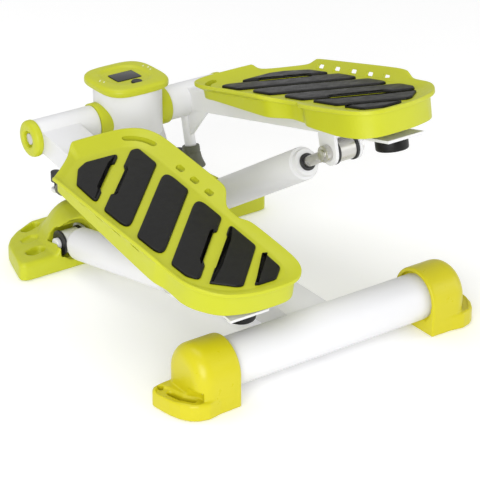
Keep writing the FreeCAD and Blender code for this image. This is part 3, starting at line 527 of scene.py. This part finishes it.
boot = {
    "middle": 75,
    "skin": [(54, 6.7), (54, 9.2), (54.5, 9.9), (56, 10.1), (61, 10.2), (61.6, 9.8), (62.4, 9.8), (63, 10.3),
             (68, 10.9), (72, 11.8), (75.4, 13), (77.6, 13.9), (79.2, 14), (80, 13.4), (80, 9.5), (77, 7.4),
             (70, 6.7)],
}


def addBoots(side):
    top = onPedal(side, boot["middle"], 0, 0)
    addPiece("boot_" + side, *lathe(boot["skin"], top, -pedalUp(side), 48, True), "lever_boot_" + side)


endCap = [(119.2, 6.9), (119.2, 19.4), (119.8, 20.2), (121, 20.5), (124.6, 20.4), (126.4, 19.6), (127.6, 18),
          (128.2, 15.6), (128.4, 12.6), (128.2, 10.6), (127.6, 9.6), (126.4, 9.2), (123.6, 9), (123.2, 8.6),
          (123.2, 6.9)]


def addEndCaps():
    parts = [lathe(endCap, pivot, Vector((sign, 0, 0)), 72, True) for sign in (-1, 1)]
    addPiece("caps_shaft", *joinParts(parts), "end_caps")


# console

console = {
    # half width, squareness (2 is round), height, then for some the count of points and a shift
    "rings": [(23.5, 2.6, 189.75, 96, 4), (25, 2.6, 190.1, 96, 4), (26.6, 2.6, 191.4, 96, 4),
              (27.8, 2.6, 191.9, 96, 4), (29, 2.6, 191.98, 96, 3.6), (36.4, 3.5, 191.98, 96, 2),
              (37.8, 3.5, 191.75, 96, 2), (39.3, 3.5, 191, 96, 2), (40.5, 3.5, 189.6, 96, 2),
              (40.9, 3.5, 187.8, 96, 2), (40.9, 3.5, 184.2, 96, 2),
              (40.6, 3.5, 183.4, 96, 2), (39.8, 3.4, 183.1, 96, 2),
              (35, 2, 183.2), (35, 2, 175.4), (32.6, 2, 175.2), (32.6, 2, 186.6)],
    "window": (31.2, 22.2, 5),      # width, depth, shift
    "button": (2, -17, 6.7),        # x, y, radius of the hole
    "cap": [(187.4, 0), (187.4, 6), (190.6, 6), (191.2, 5.7), (191.5, 5), (191.6, 3.2), (191.4, 1.5),
            (191.3, 0)],
    "marks": [(-34.5, 2, 5), (-32.5, -3.5, 4), (29.5, 14, 4), (31.5, 7, 5), (30.5, 0.5, 3.5)],
    "markHeights": (191.5, 192.04),
}


def squircle(half, power, height, steps=96, dy=0):
    ring = []
    for i in range(steps):
        t = 2 * math.pi * i / steps
        c, s = math.cos(t), math.sin(t)
        ring.append(Vector((half * math.copysign(abs(c) ** (2 / power), c),
                            half * math.copysign(abs(s) ** (2 / power), s) + dy, height)))
    return ring


def addConsole():
    centre = Vector((0, pivot.y / millimetre, 0))
    wide, tall, shift = console["window"]

    def frameRing(grow, height):
        # a ring round the display, larger than it by grow
        return [Vector((v.x * (wide / 2 + grow), v.y * (tall / 2 + grow) + shift, height))
                for v in squircle(1, 9, 0)]

    rings = [frameRing(0, 186.6), frameRing(0, 189.3), frameRing(1.6, 189.7)]
    rings += [squircle(*ring) for ring in console["rings"]]
    placed = [[(centre + v) * millimetre for v in ring] for ring in rings]
    piece = addPiece("console_top", *loft(placed, True), "console_bezel", smooth=40)
    x, y, r = console["button"]
    spot = (centre + Vector((x, y, 0))) * millimetre
    addPiece("button_cap", *lathe(console["cap"], spot, (0, 0, 1), 48), "console_button")
    carve(piece, [lathe([(180, r), (200, r)], spot, (0, 0, 1), 48)])
    dress(piece, "console_bezel", smooth=40)
    marks = []
    for x, y, long in console["marks"]:
        a, b = Vector((x, y)), Vector((x + long * 0.7, y + long * 0.7))
        shape = roundCorners([a + Vector((-0.5, 0.5)), a + Vector((0.5, -0.5)), b + Vector((0.5, -0.5)),
                              b + Vector((-0.5, 0.5))], 0.3, 3)
        marks.append(loft([[(centre + Vector((v.x, v.y, z))) * millimetre for v in shape]
                           for z in console["markHeights"]]))
    addPiece("console_marks", *joinParts(marks), [], printPale, body="base", slotName="lime_plastic")
    print("console")


# moulded pieces: closed shapes run together on a grid of the given size in millimetres, then smoothed
# so that edges and inside corners come out round

def mould(name, shapes, cutters, replaced, grid, finish=None):
    piece = addPiece(name, *joinParts(shapes), replaced, finish)
    carve(piece, cutters)
    together = piece.modifiers.new("together", "REMESH")
    together.mode, together.voxel_size, together.use_smooth_shade = "VOXEL", grid * millimetre, True
    smoother = piece.modifiers.new("ease", "SMOOTH")
    smoother.factor, smoother.iterations = 0.5, 5
    fewer = piece.modifiers.new("fewer", "DECIMATE")
    fewer.ratio = 0.5
    applyAll(piece)
    dress(piece, replaced, finish, 60)
    print(name, len(piece.data.polygons))


rearCap = {
    "inner": 120.6, "round": 152.5, "corner": 15.5, "half": 32, "axis": 33.4, "back": 358.7, "tube": 25.1,
    "wing": [(123, 329.5), (158, 330), (176, 331), (187, 333.6), (191.4, 339.5), (190, 352), (188, 365),
             (184, 377), (178, 386), (171, 391), (160, 394), (146, 391.5), (123, 390.4)],
    "grid": 0.8, "wingTop": 18, "hole": (181, 338.1), "slot": [(178.5, 352), (175, 366), (167.5, 376.5)],
    "hollow": [(182.5, 346), (178, 366), (167, 381)],
}


def addRearCap(side):
    s = hand[side]

    def spot(x, y, z):
        return Vector((s * x * millimetre, pivot.y - y * millimetre, z * millimetre))

    def arch(x, half):
        ring = [(rearCap["back"] - half, z) for z in (0, 8, 17, 25)]
        ring += [(rearCap["back"] - half * math.cos(t), rearCap["axis"] + half * math.sin(t))
                 for t in (math.pi * k / 28 for k in range(29))]
        ring += [(rearCap["back"] + half, z) for z in (25, 17, 8, 0)]
        return [spot(x, y, max(z, 0)) for y, z in ring]

    def mouth(x, radius):
        ring = arch(x, rearCap["half"])
        middle = spot(x, rearCap["back"], rearCap["axis"])
        return [middle + (v - middle).normalized() * radius * millimetre for v in ring]

    first = rearCap["inner"]
    rings = [mouth(first + 4, rearCap["tube"]), mouth(first + 4, 27.2), mouth(first, 27.6), arch(first, 30.9),
             arch(first + 1.2, 31.8), arch(first + 3, 32)]
    corner = rearCap["corner"]
    rings += [arch(rearCap["round"] + corner * math.sin(a), rearCap["half"] - corner * (1 - math.cos(a)))
              for a in (math.pi / 2 * k / 9 for k in range(10))]
    outline = roundCorners(rearCap["wing"], 6, 5)
    top = rearCap["wingTop"]
    wing = loft([[spot(v.x, v.y, z) for v in inset(outline, d)]
                 for d, z in ((0.3, 0.05), (0, 0.5), (0, top - 3), (0.9, top - 0.8), (3, top))])
    cutters = [lathe([(-0.002, 3.1), (30, 3.1)], spot(*rearCap["hole"], -2), (0, 0, 1), 32)]
    for path, radius, low in ((rearCap["hollow"], 7.2, top - 2.2), (rearCap["slot"], 3.2, top - 13)):
        for a, b in zip(path, path[1:]):
            cutters.append(loft([[spot(v.x, v.y, z) for v in stadium(a, b, radius)] for z in (low, top + 8)]))
    mould("cap_floor_" + side, [loft(rings), wing], cutters, "rear_cap_" + side,
          rearCap["grid"], capLime)


cover = {
    "front": [(0, 56.8), (84, 56.8), (99.5, 56.3), (126, 42), (140, 30.5), (150, 18), (157, -5), (164, -30)],
    "back": [(0, -39.6), (150, -39.6), (160, -39), (164, -34)],
    "foot": [(-40, 119), (-10, 116), (20, 110), (40, 97), (52, 80), (57, 68)],
    "grid": 1.15, "half": 164, "wing": 21, "hump": 59.4, "edge": 5,
    # start, end, radius and depth of each pocket
    "pockets": [((100, 43), (117, 37), 5.6, 8), ((120, 15), (130, 11.5), 6.6, 2.8),
                ((128.5, -14), (139, -17), 7.2, 8)],
    "eyeBack": 25, "eyeHeight": 27, "eyeRoom": 17.4, "eyeInner": 74.6, "eyeOuter": 114.6, "barrelRoom": 19.6,
}


def along(line, x):
    # height of a bent line at x
    for (xa, ya), (xb, yb) in zip(line, line[1:]):
        if x <= xb:
            return ya + (yb - ya) * max(0, (x - xa)) / (xb - xa)
    return line[-1][1]


def ease(t):
    t = max(0, min(1, t))
    return t * t * (3 - 2 * t)


def coverHeight(x, y):
    rise = (cover["hump"] - cover["wing"]) * (1 - ease((y - 8) / 50))
    inside = along(cover["foot"], y) - x
    inside = 0.5 * (inside + math.sqrt(inside * inside + 20)) - 1.2
    wide = 13 + 0.3 * max(0, y)
    height = cover["wing"] + rise * math.tanh(max(0, inside) / wide)
    near = min(along(cover["front"], x) - y, y - along(cover["back"], x), (164.3 - x) * 0.9)
    near = max(0, min(1, near / cover["edge"]))
    return height - cover["edge"] * (1 - math.sqrt(1 - (1 - near) ** 2)) * 0.9


def addCover():
    across, deep = 112, 34
    top, bottom = [], []
    for i in range(across + 1):
        x = -cover["half"] + 2 * cover["half"] * i / across
        back, front = along(cover["back"], abs(x)), along(cover["front"], abs(x))
        upper, lower = [], []
        for k in range(deep + 1):
            v = 0.5 - 0.5 * math.cos(math.pi * k / deep)
            y = back + (front - back) * (0.35 * v + 0.65 * k / deep)
            place = (x * millimetre, pivot.y + y * millimetre)
            upper.append(Vector((*place, coverHeight(abs(x), y) * millimetre)))
            lower.append(Vector((*place, 0.0002)))
        top.append(upper)
        bottom.append(lower)
    rings = [upper + lower[::-1] for upper, lower in zip(top, bottom)]
    cutters = []
    for s in (-1, 1):
        eye = Vector((0, pivot.y - cover["eyeBack"] * millimetre, cover["eyeHeight"] * millimetre))
        cutters.append(lathe([(cover["eyeInner"], cover["eyeRoom"]), (cover["eyeOuter"], cover["eyeRoom"])],
                             eye, (s, 0, 0), 64))
        middle = eye + Vector((s * damper["middle"] * millimetre, 0, 0))
        for side in ("left", "right"):
            low, high = eyes(side)
            direction = (high - low).normalized()
            cutters.append(lathe([(6, cover["barrelRoom"]), (80, cover["barrelRoom"])], middle, direction, 56))
        for a, b, radius, depth in cover["pockets"]:
            ring = stadium((s * a[0], a[1]), (s * b[0], b[1]), radius)
            floor = cover["wing"] - depth
            levels = ((1.6, floor), (0, cover["wing"] - 1), (0, 60))
            cutters.append(loft([[Vector((v.x, v.y + pivot.y / millimetre, z)) * millimetre
                                  for v in inset(ring, d)] for d, z in levels]))
    mould("cover_front", [loft(rings)], cutters, "front_cover", cover["grid"])


# everything that keeps the CAD's own shape, with rounded edges

rounding = {
    "rear_tube": 0.8, "main_tube": 3, "front_cross_tube": 2.5, "upright": 2.2, "post_housing": 0.8,
    "lower_brackets": 0.8, "lower_bolts": 0.8, "rocker_bracket": 0.8, "rocker_beam": 0.8,
    "saddle_rings": 0.9, "pivot_shaft": 0.3,
    "end_bolts": 0.7, "rocker_bolt": 0.5, "rocker_rollers": 0.8, "display_lens": 0.4,
    "display_panel": 0.2, "circuit_board": 0.2, "battery": 0.8,
}
sideRounding = {
    "sleeve": 0.6, "arm": 2.6, "lever": 0.7, "upper_bracket": 1.1, "bumper": 2, "arm_plug": 0.8,
    "lower_bushes": 0.7, "upper_bushes": 0.7, "gland_seal": 0.5, "sleeve_bushes": 0.3,
    "pedal_screws": 0.4, "upper_bolt": 0.5,
}


def softenAll():
    for node, width in rounding.items():
        soften(node, width)
    for start, width in sideRounding.items():
        for side in ("left", "right"):
            soften(f"{start}_{side}", width)
    print("rounded the plain nodes")


# studio

def addCamera():
    az, el = math.radians(view["azimuth"]), math.radians(view["elevation"])
    target = pivot + Vector(view["target"])
    back = Vector((math.sin(az) * math.cos(el), -math.cos(az) * math.cos(el), math.sin(el)))
    camera = bpy.data.objects.new("camera", bpy.data.cameras.new("camera"))
    camera.location = target + back * view["distance"]
    camera.rotation_euler = (-back).to_track_quat("-Z", "Y").to_euler()
    camera.data.lens = view["lens"]
    collection.objects.link(camera)
    bpy.context.scene.camera = camera


def addLight(name, place, size, power):
    lamp = bpy.data.lights.new(name, "AREA")
    lamp.size, lamp.energy = size, power
    light = bpy.data.objects.new(name, lamp)
    light.location = place
    light.rotation_euler = (Vector((0, 0, 0.1)) - Vector(place)).to_track_quat("-Z", "Y").to_euler()
    collection.objects.link(light)


def addStudio():
    world = bpy.data.worlds.new("studio")
    bpy.context.scene.world = world
    world.use_nodes = True
    world.node_tree.nodes["Background"].inputs["Color"].default_value = (1, 1, 1, 1)
    world.node_tree.nodes["Background"].inputs["Strength"].default_value = 0.55
    addLight("key", (-1.7, -1.7, 0.95), 1.5, 37)
    addLight("fill", (2.1, -1.6, 0.9), 1.6, 16)
    addLight("top", (-0.2, 0.5, 2.4), 1.6, 16)
    mesh = bpy.data.meshes.new("floor")
    mesh.from_pydata([(-4, -4, 0), (4, -4, 0), (4, 4, 0), (-4, 4, 0)], [], [(0, 1, 2, 3)])
    floor = bpy.data.objects.new("floor", mesh)
    floor.location.z = -0.0003
    collection.objects.link(floor)
    paint = coat("floorPaint", (0.97, 0.97, 0.97), 0.7, grain=300, mottle=0.004, spread=0.03, gloss=0.1)
    paint.node_tree.nodes["Principled BSDF"].inputs["Emission Color"].default_value = (1, 1, 1, 1)
    paint.node_tree.nodes["Principled BSDF"].inputs["Emission Strength"].default_value = 0.14
    mesh.materials.append(paint)


for side in ("left", "right"):
    addTray(side)
    addPads(side)
    addDamper(side)
    addBoots(side)
    addRearCap(side)
addEndCaps()
addConsole()
addCover()
softenAll()
bpy.context.scene.view_settings.view_transform = "Standard"
addCamera()
addStudio()
